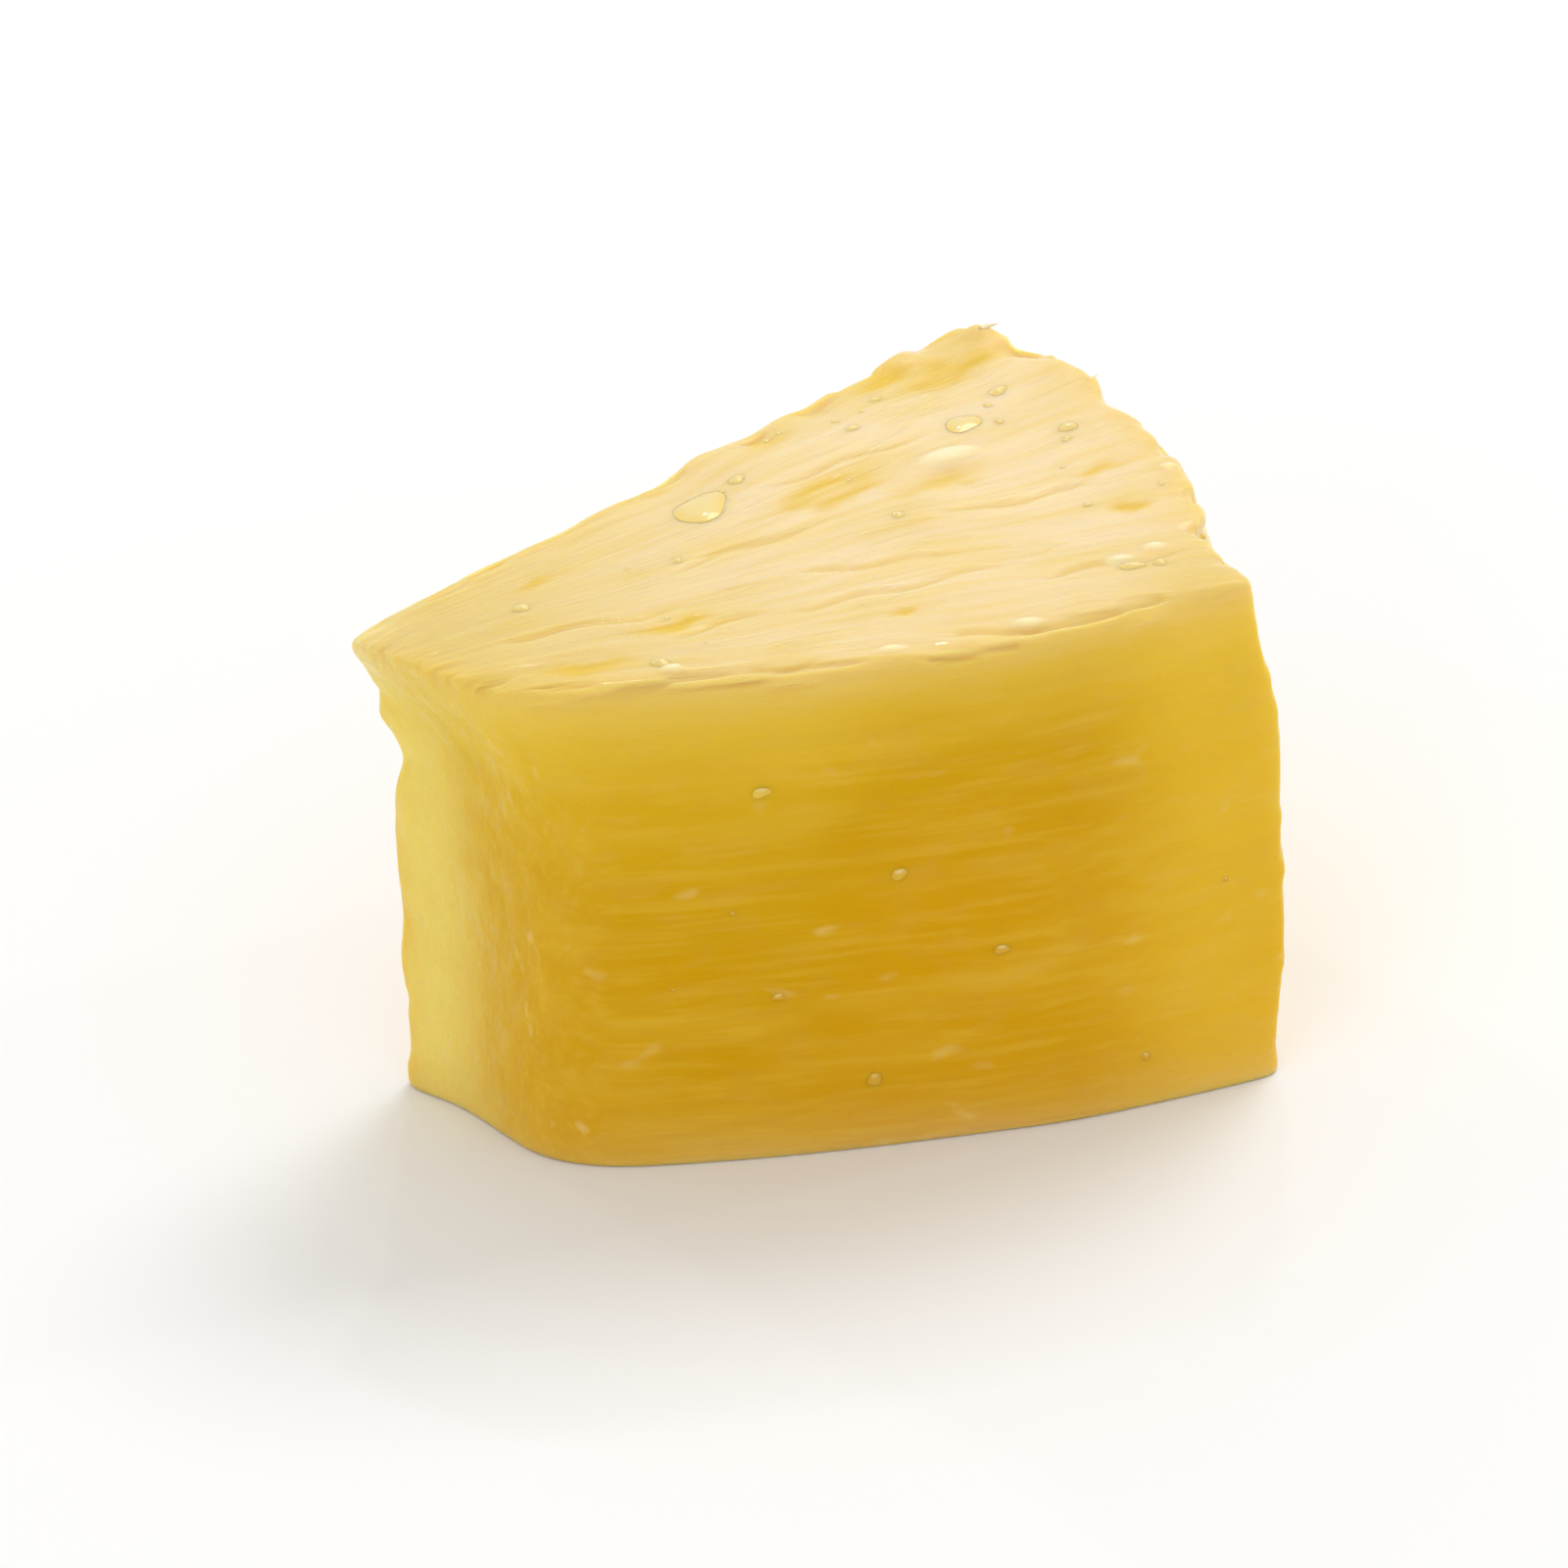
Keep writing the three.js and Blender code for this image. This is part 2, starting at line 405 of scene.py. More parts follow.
# Cut juice sacs in the top: place, half sizes along and across the fibres, depth.
CUT_SACS = [
    ((5.2, 2.3), 2.6, 1.25, 0.12),
    # This sac's gold is partly a painted shadow under the pale lump beside it.
    ((9.5, 0.8), 2.0, 0.80, 0.18),
    ((14.9, 9.1), 2.6, 0.95, 0.14),
    ((11.6, 9.7), 1.7, 0.60, 0.08),
    ((4.7, 7.4), 1.3, 0.75, 0.08),
    ((-1.5, 6.6), 1.6, 0.45, 0.06),
    ((-5.5, -3.7), 1.6, 0.45, 0.06),
    ((-8.4, 2.2), 1.5, 0.40, 0.06),
    ((16.0, -5.0), 0.8, 0.35, 0.06),
    ((16.9, -1.6), 1.4, 0.40, 0.06),
    ((3.5, -7.9), 0.6, 0.35, 0.05),
    ((-10.3, -5.0), 2.0, 0.55, 0.06),
]

SAC_WARP = 0.45
SAC_WARP_SIZE = 1.1
SAC_WARP_SEEDS = (41, 42)

# The ragged fibres in the sacs: length, width and seed.
SAC_FIBRES = (2.5, 0.5, 18)
SAC_LEVEL = 0.85
SAC_UNEVENNESS = 0.6

# Pale lumps on the top: place, half sizes along and across the fibres, height. The first lies beside
# the deepest sac, and the rest are crumbs.
PALE_LUMPS = [
    ((10.9, 2.2), 1.40, 0.62, 0.36),
    # The crumbs' pale paint is partly their own colour and partly painted highlight.
    ((7.7, -11.1), 0.60, 0.30, 0.22),
    ((-7.2, -6.8), 0.42, 0.32, 0.20),
    ((13.4, -8.7), 0.60, 0.26, 0.20),
    ((15.3, -8.4), 0.45, 0.24, 0.16),
    ((18.9, -3.0), 0.40, 0.26, 0.16),
    ((1.8, -9.9), 0.55, 0.24, 0.16),
]

# Nicks in the edges of the top and the core end: place, radius and depth. A negative depth makes a
# tooth of flesh.
NICKS = [
    ((19.9, 3.4, 25.0), 0.9, 0.50),
    ((19.1, 5.7, 24.7), 0.9, -0.30),
    ((18.6, 8.4, 25.0), 0.8, 0.45),
    ((18.1, 9.4, 24.7), 0.9, 0.70),
    ((13.2, 11.2, 24.8), 1.4, -0.50),
    ((-0.6, 7.2, 25.0), 2.4, 0.35),
    ((4.6, 8.3, 25.0), 1.0, 0.30),
    ((7.8, 9.2, 25.0), 0.9, 0.40),
    ((-15.6, 3.3, 19.5), 1.4, -0.60),
    ((-15.5, 3.3, 17.5), 1.7, 0.50),
    ((-15.2, 3.2, 8.6), 1.2, 0.25),
    ((17.1, 11.2, 24.8), 0.6, -0.50),
    ((20.6, -5.6, 24.6), 0.9, 0.50),
    ((20.4, -10.4, 24.4), 0.8, 0.40),
]

# The height over which the relief comes in above the foot.
FOOT_FADE = 1.5

# The painted shade on the flesh under a bead of juice, and where on the way out it begins and has its
# rim.
DROP_SHADE = 0.30
DROP_SHADE_START = (1.1, 0.8)
DROP_SHADE_RIM = 0.95
DROP_SHADE_RIM_WIDTH = 0.2

# The deeper tinge of the top: along the back edge, next to the peeled face, along the front, and
# painted shade at the rounded corner where the front meets the peeled face.
BACK_TINGE = 0.45
BACK_TINGE_DEPTH = 1.2
BACK_TINGE_WIDTH = 1.8
BACK_TINGE_RADII = (28.0, 38.0)
OUTER_TINGE = 0.68
OUTER_TINGE_DEPTHS = (3.2, 0.4)
FRONT_TINGE = 0.55
FRONT_TINGE_DEPTHS = (1.5, 0.2)
SHADED_CORNER = (16.5, -12.5)
CORNER_SHADE_REACH = 4.8

# A painted glow of light through the thin tip of the core end: its place, reach and share.
TIP_GLOW = (-18.0, 2.6, 24.6)
TIP_GLOW_REACH = 2.2
TIP_GLOW_SHARE = 0.45

# The core end is pale towards the back, from one y high up and from another low down.
PALE_CORE_HIGH = -0.8
PALE_CORE_LOW = -2.4
PALE_CORE_HEIGHTS = (22.0, 16.0)
PALE_CORE_BLEND = 4.8
PALE_CORE_SHARES = (0.15, 0.9)


def share_of_faces(points, border):
    """How far each point belongs to each face, from 0 to 1, with borders about that wide."""
    distances = distances_to_faces(points)
    largest = np.max(list(distances.values()), axis=0)
    weights = {name: np.exp((value - largest) / border) for name, value in distances.items()}
    total = sum(weights.values())
    return {name: weight / total for name, weight in weights.items()}


def fibre_places(points):
    """Places along the fibres, across them and up the fruit."""
    radius, bearing = round_the_fruit(points)
    sway = FIBRE_SWAY * noise(points / SWAY_SIZE, SWAY_SEED)
    return np.column_stack([radius, bearing * FIBRE_RADIUS + sway, points[:, 2]])


def fibres(places, length, width, seed):
    return noise(places / np.array([length, width, width]), seed)


def layered(places, layers, kinds):
    """The sum of layers of relief, given how far the points are on each kind of face."""
    rise = np.zeros(len(places))
    for size, seed, heights in layers:
        height = sum(kinds[kind] * most for kind, most in heights.items())
        rise += height * noise(places / np.array(size), seed)
    return rise


def grained_relief(points, places, face):
    edge = ease(1 - np.max(list(face.values()), axis=0), *EDGE_SHARES)
    kinds = {
        "all": 1.0,
        "cut": face["top"] + face["foot"],
        "side": sum(face[name] for name in LONG_CUTS),
        "core": face["core"],
        "peel": face["peel"],
        "rough_edge": (face["peel"] + face["core"]) * edge,
    }
    rise = layered(points, LUMPS, kinds) + layered(places, RIDGES, kinds)
    return rise - SETBACK - PEEL_SETBACK * face["peel"]


def mound(across, up, place, half_sizes):
    """A mound of height 1 with steep sides, over an oval at place."""
    away = np.hypot((across - place[0]) / half_sizes[0], (up - place[1]) / half_sizes[1])
    return np.exp(-away ** LUMP_POWER)


def stroke(across, up, start, end, half_width):
    """A smooth ridge of height 1 along the line from start to end."""
    way = np.subtract(end, start)
    along = ((across - start[0]) * way[0] + (up - start[1]) * way[1]) / (way @ way)
    share = np.clip(along, 0, 1)
    away = np.hypot(across - start[0] - share * way[0], up - start[1] - share * way[1])
    return bell(away, half_width)


def eye_relief(points):
    """Rise of the peeled face round each eye, and how far each point is near, in a slit or on a nub."""
    _, bearing = round_the_fruit(points)
    rise, near, slit, nub = np.zeros((4, len(points)))
    for number, (eye_bearing, eye_height) in enumerate(eye_places()):
        level_across = (bearing - eye_bearing) * PEELED_RADIUS
        level_up = points[:, 2] - eye_height
        tilt = radians(EYE_TILTS[number])
        across = level_across * cos(tilt) + level_up * sin(tilt)
        across /= EYE_WIDTHS[number]
        up = level_up * cos(tilt) - level_across * sin(tilt)
        for *line, depth in EYE_SLITS:
            dent = stroke(across, up, *line)
            rise -= depth * dent
            slit += dent
        for *oval, height in EYE_NUBS:
            bump = mound(across, up, *oval)
            rise += height * bump
            nub += bump
        near += np.exp(-(np.hypot(across, up) / EYE_REACH) ** HOLLOW_POWER)
    return rise, np.clip(near, 0, 1), np.clip(slit, 0, 1), np.clip(nub - slit, 0, 1)


def groove_share(points):
    radius, bearing = round_the_fruit(points)
    total = np.zeros(len(points))
    for number, ((start, start_bearing), (end, end_bearing)) in enumerate(GROOVES):
        along = (radius - start) / (end - start)
        middle = np.radians(start_bearing + (end_bearing - start_bearing) * along)
        wander = GROOVE_WANDER * np.sin(radius * GROOVE_TURN + number)
        across = (bearing - middle) * radius + wander
        share = ease(along, *GROOVE_START) * ease(along, *GROOVE_END)
        total = np.maximum(total, share * bell(across, GROOVE_HALF_WIDTH))
    return total


def oval_reach(points, place, half_length, half_width):
    """How far out each point is in an upright oval along the fibres: 0 in its middle, 1 at its rim."""
    way = unit(place - FRUIT_AXIS)
    offset = points[:, :2] - place
    along = offset @ way
    across = offset @ np.array([-way[1], way[0]])
    return np.hypot(along / half_length, across / half_width)


def oval_patches(points, ovals, power):
    """The sum of the heights of oval patches, and how far each point lies in one."""
    rise, share = np.zeros((2, len(points)))
    for *oval, height in ovals:
        inside = np.exp(-oval_reach(points, *oval) ** power)
        rise += height * inside
        share += inside
    return rise, np.clip(share, 0, 1)


def warped(points):
    """The points, shifted unevenly in the plan."""
    shifts = [noise(points / SAC_WARP_SIZE, seed) for seed in SAC_WARP_SEEDS]
    return points + np.pad(SAC_WARP * np.column_stack(shifts), ((0, 0), (0, 1)))


def drop_rim_shade(points):
    """How deep a colour the top has under its beads of juice, painted shade that is deepest under their
    rims.
    """
    shade = np.zeros(len(points))
    for *oval, _ in TOP_BEADS:
        reach = oval_reach(points, *oval)
        rim = bell(reach - DROP_SHADE_RIM, DROP_SHADE_RIM_WIDTH)
        shade = np.maximum(shade, DROP_SHADE * (ease(reach, *DROP_SHADE_START) + rim))
    return shade


def torn(places, tears):
    depth = np.zeros(len(places))
    for *strands, most in tears:
        depth += most * ease(fibres(places, *strands), *TEAR_LEVELS)
    return depth


def torn_edges(points, places):
    """How deep the edges of the top are torn. The product of two shares is a quarter on an edge."""
    face = share_of_faces(points, TEAR_BORDER)
    fibre_ends = 4 * face["top"] * (face["peel"] + CORE_TEARS * face["core"])
    fibre_sides = 4 * face["top"] * sum(face[name] for name in LONG_CUTS)
    return fibre_ends * torn(places, TEETH) + fibre_sides * torn(places, FLAKES)


def nick_depth(points):
    total = np.zeros(len(points))
    for place, radius, depth in NICKS:
        total += depth * bell(distance_from(place, points), radius)
    return total


def rim_tinge(points):
    """How far each point is tinged with the deeper colour of the top's edges, and with painted shade at
    the front corner by the peel.
    """
    radius, _ = round_the_fruit(points)
    back_depth = -distance_to_cut("back", points)
    front_depth = -np.maximum(*(distance_to_cut(name, points) for name in ("front", "shoulder")))
    back = bell(back_depth - BACK_TINGE_DEPTH, BACK_TINGE_WIDTH)
    tinge = BACK_TINGE * back * ease(radius, *BACK_TINGE_RADII)
    tinge += OUTER_TINGE * ease(PEELED_RADIUS - radius, *OUTER_TINGE_DEPTHS)
    tinge += FRONT_TINGE * ease(front_depth, *FRONT_TINGE_DEPTHS)
    return tinge + bell(distance_from(SHADED_CORNER, points), CORNER_SHADE_REACH)


def pale_core(points, core):
    """How far each point has the pale colour of the core, given its share of the core end."""
    low = ease(points[:, 2], *PALE_CORE_HEIGHTS)
    start = PALE_CORE_HIGH + (PALE_CORE_LOW - PALE_CORE_HIGH) * low
    return ease(core, *PALE_CORE_SHARES) * ease(points[:, 1], start, start + PALE_CORE_BLEND)


def relief(points):
    """How far the flesh stands out from its true form, and the shares that it is painted by."""
    face = share_of_faces(points, RELIEF_BORDER)
    places = fibre_places(points)
    eyes, near, slit, nub = eye_relief(points)
    sac, in_sac = oval_patches(warped(points), CUT_SACS, HOLLOW_POWER)
    ragged = SAC_LEVEL + SAC_UNEVENNESS * fibres(places, *SAC_FIBRES)
    lump, on_lump = oval_patches(points, PALE_LUMPS, LUMP_POWER)
    groove = groove_share(points) * face["top"]

    rise = grained_relief(points, places, face)
    rise += face["peel"] * eyes + face["top"] * (lump - sac * ragged)
    rise -= GROOVE_DEPTH * groove + torn_edges(points, places) + nick_depth(points)

    colour = share_of_faces(points, COLOUR_BORDER)
    # A painted glow at the thin tip of the core end.
    tip_glow = bell(distance_from(TIP_GLOW, points), TIP_GLOW_REACH)
    shares = {
        "top": colour["top"] + colour["foot"],
        "peel": colour["peel"],
        "core": pale_core(points, colour["core"]),
        "tinge": np.clip(face["top"] * rim_tinge(points), 0, 1),
        "eye": face["peel"] * near,
        "gold": np.clip(face["top"] * in_sac * ragged + face["peel"] * slit, 0, 1),
        # Pale nubs and lumps, painted highlights on the crumbs, and a painted glow at the core end's
        # tip.
        "pale": face["peel"] * nub + face["top"] * on_lump + TIP_GLOW_SHARE * tip_glow,
        # The groove share also carries the painted shade under the beads of juice.
        "groove": np.maximum(groove, face["top"] * drop_rim_shade(points)),
    }
    return rise * ease(points[:, 2], 0.0, FOOT_FADE), shares


# ---- meshes

def to_row_frame(points):
    """From the plan of the cuts, in millimetres, to the row frame, in metres."""
    return (points + PLAN_SHIFT) * MM


def to_plan(point):
    """From the row frame, in metres, to the plan of the cuts, in millimetres."""
    return np.array(point) / MM - PLAN_SHIFT


def new_object(name, data):
    made = bpy.data.objects.new(name, data)
    bpy.context.scene.collection.objects.link(made)
    return made


def new_piece(name, points, faces):
    """A smooth mesh over points of the plan."""
    mesh = bpy.data.meshes.new(name)
    mesh.from_pydata(to_row_frame(points).tolist(), [], faces)
    mesh.validate()
    mesh.shade_smooth()
    return new_object(name, mesh)


def paint(piece, name, share):
    """Gives each point of the mesh a share from 0 to 1, which a material can read by its name."""
    layer = piece.data.attributes.new(name, "FLOAT", "POINT")
    layer.data.foreach_set("value", np.asarray(share, dtype=np.float32))


def make_flesh():
    """The true form with its relief, painted with its shares and the places of its fibres."""
    places, quads = box_grid(*GRID)
    points = on_flesh(places)
    ways = gentle_ways(vertex_normals(points, quads), quads)
    rise, shares = relief(points)
    points = points + ways * rise[:, None]
    points[:, 2] = np.maximum(points[:, 2], 0)
    flesh = new_piece("pineapple_flesh", points, quads.tolist())
    fibre = flesh.data.attributes.new("fibre", "FLOAT_VECTOR", "POINT")
    fibre.data.foreach_set("vector", fibre_places(points).ravel())
    for name, share in shares.items():
        paint(flesh, name, share)
    return flesh


# ---- juice and loose fibres

# Beads of juice on the top: place, half sizes along and across the fibres, height.
TOP_BEADS = [
    ((-0.2, 4.0), 1.45, 1.15, 0.22),
    ((12.8, 4.5), 0.85, 0.75, 0.14),
    ((-7.4, -6.2), 0.40, 0.34, 0.22),
    ((13.7, -9.3), 0.70, 0.32, 0.20),
    ((14.9, -9.6), 0.34, 0.28, 0.16),
    ((2.1, 5.1), 0.42, 0.36, 0.18),
    ((16.6, 2.0), 0.45, 0.35, 0.18),
    ((-10.6, 0.6), 0.40, 0.32, 0.16),
    ((6.8, -0.9), 0.30, 0.26, 0.14),
    ((-3.0, 0.8), 0.26, 0.24, 0.12),
    ((15.4, 6.2), 0.45, 0.36, 0.18),
    ((8.4, 6.4), 0.32, 0.28, 0.14),
]

# Droplets strewn over a face: how many, the seed, the largest radius, the face's bearing or None for
# the top, its middle, and how far they reach from there, along the face and up it.
STREWN = [
    (26, 31, 0.34, 0.0, (21.0, 0.0, 12.5), (12.0, 11.0)),
    (9, 33, 0.36, 256.0, (3.0, -11.5, 12.5), (15.0, 10.5)),
    (9, 34, 0.36, 105.7, (0.0, 9.0, 12.5), (14.0, 10.5)),
    (24, 32, 0.24, None, (5.0, 0.0, 25.0), (15.0, 9.0)),
]

# The bounds of a strewn droplet's random values: its place along the face and up it, a share that
# gives its size, and its length against its width.
STREWN_LOW = (-1.0, -1.0, 0.35, 1.0)
STREWN_HIGH = (1.0, 1.0, 1.0, 1.5)
STREWN_SIZE_POWER = 1.5
STREWN_HEIGHT = 0.55

# The string of bubbles under each eye: how many, how far out it lies across and up, and where round
# the eye it ends, in degrees.
BUBBLE_COUNT = 13
BUBBLE_SEED = 35
BUBBLES_ACROSS = 3.1
BUBBLES_UP = 2.7
BUBBLE_ENDS = (195, 345)
BUBBLE_HEIGHT = 0.7

# The bounds of a bubble's random values: its drift along the string, how far out it lies, its radius.
BUBBLE_LOW = (-0.06, 0.9, 0.12)
BUBBLE_HIGH = (0.06, 1.1, 0.24)

# The shape of a bead, with the strength of its two wobbles.
BEAD_RINGS = 6
BEAD_SIDES = 24
BEAD_SINK_SHARE = 0.12
BEAD_ROUNDNESS = 1.3
DOUBLE_WOBBLE = 0.10
TRIPLE_WOBBLE = 0.07
PHASE_STEP = 1.3

# Where a drop can hold, where it counts as on the top, and how far outside the flesh a ray starts.
HOLD_LIMIT = 0.8
FOOT_CLEARANCE = 0.8
TOP_UPRIGHTNESS = (0.4, 0.7)
CAST_HEIGHT = 6.0

# Loose fibres: foot, direction, length and curl.
WISPS = [
    ((17.4, 11.0, 24.9), (0.55, 0.10, 0.12), 0.45, 0.36),
    ((19.5, 5.6, 24.3), (0.70, 0.35, 0.10), 0.35, 0.24),
]
WISP_RADIUS = 0.17
WISP_TAPER = 0.75
WISP_DROOP = 0.15
WISP_STEPS = 10
WISP_SIDES = 6
WISP_ROOT = 0.25


def joined(parts):
    """One list of points and one of faces from several."""
    points = []
    faces = []
    start = 0
    for part_points, part_faces in parts:
        points.append(part_points)
        faces += [tuple(start + corner for corner in face) for face in part_faces]
        start += len(part_points)
    return np.vstack(points), faces


def ringed(rings, first, last):
    """A closed skin over rings of points, from the point first to the point last."""
    sides = len(rings[0])
    points = np.vstack([first, *rings, last])
    end = len(points) - 1
    last_ring = end - sides
    steps = [(side, (side + 1) % sides) for side in range(sides)]
    faces = [(0, 1 + side, 1 + after) for side, after in steps]
    for ring in range(1, last_ring, sides):
        later = ring + sides
        faces += [(ring + side, later + side, later + after, ring + after) for side, after in steps]
    faces += [(last_ring + side, end, last_ring + after) for side, after in steps]
    return points, faces


def landed(skin, place, towards):
    """Where a ray through a place in the plan meets the skin of the flesh, and the normal there."""
    start = to_row_frame(np.array(place) - CAST_HEIGHT * np.array(towards))
    hit, normal, _, _ = skin.ray_cast(Vector(start), Vector(towards))
    if hit is None:
        return None, None
    return to_plan(hit), np.array(normal)


def bead(skin, place, outward, along, half_length, half_width, height, phase):
    """A flattened drop on the flesh at place."""
    spot, _ = landed(skin, place, -outward)
    sink = BEAD_SINK_SHARE * height
    length_way = unit(along - (along @ outward) * outward)
    width_way = np.cross(outward, length_way)
    rings = []
    for ring in range(1, BEAD_RINGS + 1):
        share = ring / BEAD_RINGS
        rise = height * (1 - share ** 2) ** BEAD_ROUNDNESS
        points = []
        for side in range(BEAD_SIDES):
            turn = 2 * pi * side / BEAD_SIDES
            wobble = 1 + DOUBLE_WOBBLE * sin(2 * turn + phase)
            wobble += TRIPLE_WOBBLE * sin(3 * turn + 2 * phase)
            reach = half_length * cos(turn) * length_way
            reach += half_width * sin(turn) * width_way
            wanted = spot + share * wobble * reach
            under, _ = landed(skin, wanted, -outward)
            if under is None:
                under = wanted
            points.append(under + outward * (rise - sink))
        rings.append(np.array(points))
    return ringed(rings, spot + outward * (height - sink), spot - outward * 2 * sink)


def drop(skin, place, outward, *shape):
    """A bead on the flesh under place, if that looks outward there and is clear of the foot."""
    spot, normal = landed(skin, place, -outward)
    if spot is not None and normal @ outward > HOLD_LIMIT and spot[2] > FOOT_CLEARANCE:
        yield bead(skin, spot, normal, *shape)


def strewn_beads(skin, count, seed, largest, bearing, middle, spread):
    """Droplets of random sizes at random places on one face."""
    random = np.random.default_rng(seed)
    on_top = bearing is None
    outward = UP if on_top else direction(bearing)
    rising = direction(90) if on_top else UP
    along = np.cross(rising, outward)
    for number in range(count):
        across, climb, share, length = random.uniform(STREWN_LOW, STREWN_HIGH)
        size = largest * share ** STREWN_SIZE_POWER
        place = np.array(middle) + across * spread[0] * along + climb * spread[1] * rising
        shape = (size * length, size, STREWN_HEIGHT * size, number)
        yield from drop(skin, place, outward, along, *shape)


def bubbles(skin):
    """Bubbles of juice that hang under each eye like a string of pearls."""
    random = np.random.default_rng(BUBBLE_SEED)
    for eye_bearing, eye_height in eye_places():
        for turn in np.linspace(*np.radians(BUBBLE_ENDS), BUBBLE_COUNT):
            drift, share, size = random.uniform(BUBBLE_LOW, BUBBLE_HIGH)
            across = share * BUBBLES_ACROSS * cos(turn + drift)
            bearing = eye_bearing + across / PEELED_RADIUS
            height = eye_height + share * BUBBLES_UP * sin(turn + drift)
            outward = np.array([cos(bearing), sin(bearing), 0.0])
            place = np.array([*FRUIT_AXIS, height]) + PEELED_RADIUS * outward
            yield from drop(skin, place, outward, UP, size, size, BUBBLE_HEIGHT * size, turn)


def make_beads(skin):
    """All the drops of juice, painted with the way out to their edges and which lie on the top."""
    parts = []
    for number, (place, *sizes) in enumerate(TOP_BEADS):
        along = np.append(place - FRUIT_AXIS, 0)
        high_place = (*place, THICKNESS)
        parts.append(bead(skin, high_place, UP, along, *sizes, PHASE_STEP * number))
    for strewn in STREWN:
        parts += strewn_beads(skin, *strewn)
    parts += bubbles(skin)
    beads = new_piece("juice_beads", *joined(parts))
    ring_edges = np.repeat(np.arange(1, BEAD_RINGS + 1) / BEAD_RINGS, BEAD_SIDES)
    paint(beads, "edge", np.tile([0, *ring_edges, 1], len(parts)))
    uprightness = np.array([vertex.normal.z for vertex in beads.data.vertices])
    paint(beads, "top", ease(uprightness, *TOP_UPRIGHTNESS))
    return beads


def wisp(foot, towards, length, curl):
    """A thin strand of fibre that tapers, curls and droops, with its foot sunk in the flesh."""
    way = unit(np.array(towards))
    side_way = unit(np.cross(way, UP))
    up_way = np.cross(side_way, way)
    turns = 2 * pi * np.arange(WISP_SIDES) / WISP_SIDES
    circle = np.outer(np.cos(turns), side_way) + np.outer(np.sin(turns), up_way)
    rings = []
    for step in range(WISP_STEPS):
        share = step / (WISP_STEPS - 1)
        middle = foot + way * (length * share - WISP_ROOT * (1 - share))
        middle += (curl * side_way - WISP_DROOP * UP) * length * share ** 2
        rings.append(middle + WISP_RADIUS * (1 - WISP_TAPER * share) * circle)
    return ringed(rings, rings[0].mean(0), rings[-1].mean(0) + way * WISP_RADIUS)


def make_wisps(skin):
    parts = []
    for place, *shape in WISPS:
        foot, _, _, _ = skin.find_nearest(Vector(to_row_frame(np.array(place))))
        parts.append(wisp(to_plan(foot), *shape))
    return new_piece("fibre_wisps", *joined(parts))


# ---- materials

# Colours of the faces cut across the fruit.
PALE_CUT = linear(244, 220, 177)
GOLDEN_CUT = linear(238, 209, 138)
TIP_CUT = linear(230, 202, 126)
RIM_CUT = linear(228, 198, 112)
GOLD = linear(238, 206, 106)
DEEP_GOLD = linear(234, 196, 76)
# Pale flesh, and the same colour for a painted glow and painted highlights.
PALE_FLESH_AND_GLOW = linear(252, 236, 196)

# Colours of the faces cut along the fruit. Their stops lie at shares of the way down to the foot.
SIDE_PALE = linear(232, 194, 60)
SIDE_OUTER = linear(243, 200, 52)
CORE_PALE = linear(250, 228, 122)
# From a pale rim, a painted glow of light through the top, down to deep gold, partly the flesh's own
# colour and partly painted shade.
SIDE_STOPS = [
    (0.00, linear(238, 205, 100)),
    (0.05, linear(235, 200, 72)),
    (0.12, linear(230, 191, 44)),
    (0.24, linear(223, 179, 14)),
    (0.45, linear(217, 168, 0)),
    (1.00, linear(220, 167, 0)),
]

# Colours of the peeled face.
SLIT_GOLD = linear(236, 180, 30)
EYE_PALE = linear(247, 219, 142)
# From pale at the top, a painted glow, down to deeper gold, partly painted shade.
PEEL_STOPS = [
    (0.00, linear(245, 212, 104)),
    (0.10, linear(242, 206, 74)),
    (0.35, linear(236, 195, 48)),
    (0.70, linear(228, 180, 14)),
    (1.00, linear(225, 174, 4)),
]

# Colours of the juice and of the loose fibres.
# The rim of a drop, in painted shade.
JUICE_RIM_SHADE = linear(243, 212, 120)
JUICE_ON_CUT = linear(242, 218, 146)
JUICE_ON_PEEL = linear(238, 200, 70)
JUICE_LOW_ON_PEEL = linear(216, 166, 16)
FIBRE_PALE = linear(252, 238, 196)
FIBRE_GOLD = linear(246, 224, 160)

# The distances from the fruit's axis between which a colour comes in.
TIP_RADII = (34.0, 12.0)
SIDE_SHADOW_RADII = (28.0, 35.0)
OUTER_RADII = (40.0, 47.0)
CORE_RADII = (22.0, 13.0)

# Patches: the sizes of their lumps along the fibres, across them and up, the detail of their noise,
# the levels of noise where they come in and are full, and how far they cover what lies under them.
GOLD_CLOUDS = ((5.0, 3.5, 3.5), 2.0, 0.50, 0.80, 0.35)
PEEL_SMEARS = ((5.0, 1.7, 6.0), 2.0, 0.42, 0.75, 0.30)
MARBLE = ((1.8, 1.3, 1.6), 2.0, 0.42, 0.60, 0.60)
GRIT = ((0.8, 0.5, 0.6), 1.0, 0.56, 0.80, 0.18)
HAIRLINE_PATCHES = ((5.0, 3.5, 3.5), 2.0, 0.45, 0.62, 1.0)
WET_FILM = ((2.5, 1.2, 1.2), 2.0, 0.52, 0.62, 0.38)

# Patches of the side, each with its colour: brushed streaks, threads and flecks.
SIDE_PATCHES = [
    (((12.0, 2.2, 2.2), 2.0, 0.42, 0.75, 0.34), SIDE_PALE),
    (((9.0, 0.45, 0.45), 3.0, 0.45, 0.72, 0.32), SIDE_PALE),
    # Pale flecks, partly painted glints of juice.
    (((2.6, 1.1, 1.5), 1.0, 0.68, 0.84, 0.40), EYE_PALE),
]

